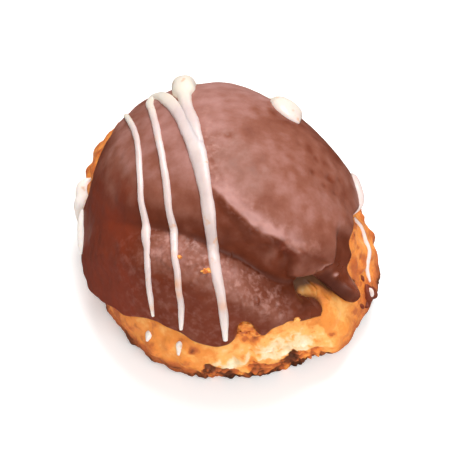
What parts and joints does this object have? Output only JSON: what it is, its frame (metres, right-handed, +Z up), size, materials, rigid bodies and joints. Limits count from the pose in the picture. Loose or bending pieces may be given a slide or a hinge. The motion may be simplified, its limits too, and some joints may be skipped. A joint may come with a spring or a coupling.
{
  "type": "cream puff",
  "caption": "Round choux bun on a flat base, under an uneven set chocolate glaze with drips and lines of white drizzle.",
  "frame": {"origin": "centre of the part's box, on the flat base that the bun stands on", "axes": "+Z straight up from the flat base to the top of the glaze; -Y to the side with the bay of bare choux and the shortest reach of glaze, which is the side that the picture shows; +X to the right as seen from there"},
  "size_m": [0.0685, 0.069, 0.0451],
  "materials": {
    "choux": "matte baked crust, golden to brown",
    "chocolate": "satin set milk chocolate glaze",
    "drizzle": "satin white chocolate drizzle"
  },
  "bodies": {
    "root": {"choux_bun": "choux", "chocolate_glaze": "chocolate"}
  },
  "joints": []
}
